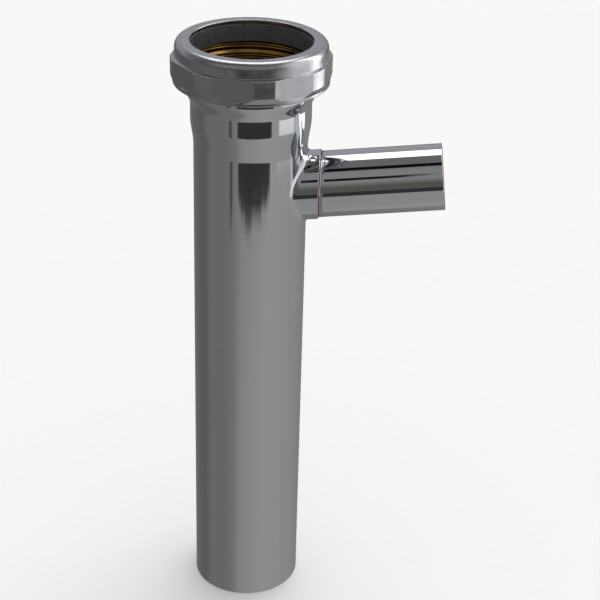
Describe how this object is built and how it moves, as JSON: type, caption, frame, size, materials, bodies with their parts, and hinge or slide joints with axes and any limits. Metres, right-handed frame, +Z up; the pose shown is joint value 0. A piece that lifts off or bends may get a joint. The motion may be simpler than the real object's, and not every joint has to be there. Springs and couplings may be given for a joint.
{
  "type": "branch tailpiece",
  "caption": "Chrome-plated brass sink tailpiece: a straight tube with a slip joint socket and nut at its top and a short side branch that slopes upwards.",
  "frame": {"origin": "centre of the cut lower end of the main tube, on the plane it stands on", "axes": "+Z up along the main tube, towards the slip joint nut; +X towards the side branch; the branch axis lies in the XZ plane and slopes up by 7 degrees"},
  "size_m": [0.0919, 0.0522, 0.2091],
  "materials": {
    "tube_chrome": "polished chrome plate on drawn brass, raw brass inside",
    "branch_chrome": "polished chrome plate on drawn brass, raw brass inside",
    "nut_zinc": "chrome plate over die-cast zinc, satin with a fine cast grain",
    "washer_rubber": "moulded, matt, dark grey"
  },
  "bodies": {
    "tube": {"main_tube": "tube_chrome", "branch_tube": "branch_chrome"},
    "washer": {"slip_washer": "washer_rubber"},
    "nut": {"slip_nut": "nut_zinc"}
  },
  "joints": [
    {"name": "washer_lift", "type": "slide", "parent": "tube", "child": "washer", "axis": [0, 0, 1], "range_m": [0, 0.00663]},
    {"name": "nut_turn", "type": "hinge", "parent": "washer", "child": "nut", "pos_m": [0, 0, 0.2], "axis": [0, 0, 1], "range_deg": [0, 1080]}
  ],
  "couplings": [
    {"joint": "washer_lift", "follows": "nut_turn", "m_per_rad": 0.00035152}
  ]
}
